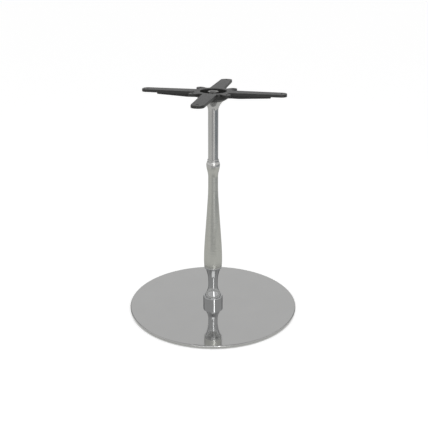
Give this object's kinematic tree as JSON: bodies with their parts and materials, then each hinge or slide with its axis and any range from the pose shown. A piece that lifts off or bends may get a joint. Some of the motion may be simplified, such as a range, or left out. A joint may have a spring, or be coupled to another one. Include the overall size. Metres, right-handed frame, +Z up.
{
  "type": "pedestal table base",
  "caption": "Pedestal table base with a weighted round disc, a turned baluster column on a tie rod and a cast four-arm spider that carries the table top.",
  "frame": {"origin": "on the floor under the glides, at the column's axis", "axes": "+Z up along the column; the spider's arms lie along X and Y"},
  "size_m": [0.5499, 0.55, 0.72],
  "materials": {
    "polished_stainless": "polished stainless steel",
    "satin_stainless": "satin brushed stainless steel",
    "black_casting": "black textured powder coat on cast iron",
    "primed_plate": "dull dark primer on steel plate",
    "plain_steel": "plain turned steel",
    "zinc_steel": "dull zinc plated steel",
    "glide_plastic": "matt black moulded plastic"
  },
  "bodies": {
    "root": {"base_cover": "polished_stainless", "foot_collar": "polished_stainless", "lower_spindle": "polished_stainless", "collar_barrel": "polished_stainless", "collar_ring": "polished_stainless", "upper_tube": "polished_stainless", "baluster": "satin_stainless", "spider": "black_casting", "ballast_plate": "primed_plate", "base_hub": "plain_steel", "foot_bush": "plain_steel", "baluster_bush": "plain_steel", "neck_bush": "plain_steel", "tie_rod": "zinc_steel", "hub_lock_nut": "zinc_steel", "spider_nut": "zinc_steel", "spider_washer": "zinc_steel", "spider_lock_washer": "zinc_steel", "glide_studs": "zinc_steel", "glide_feet": "glide_plastic"}
  },
  "joints": []
}
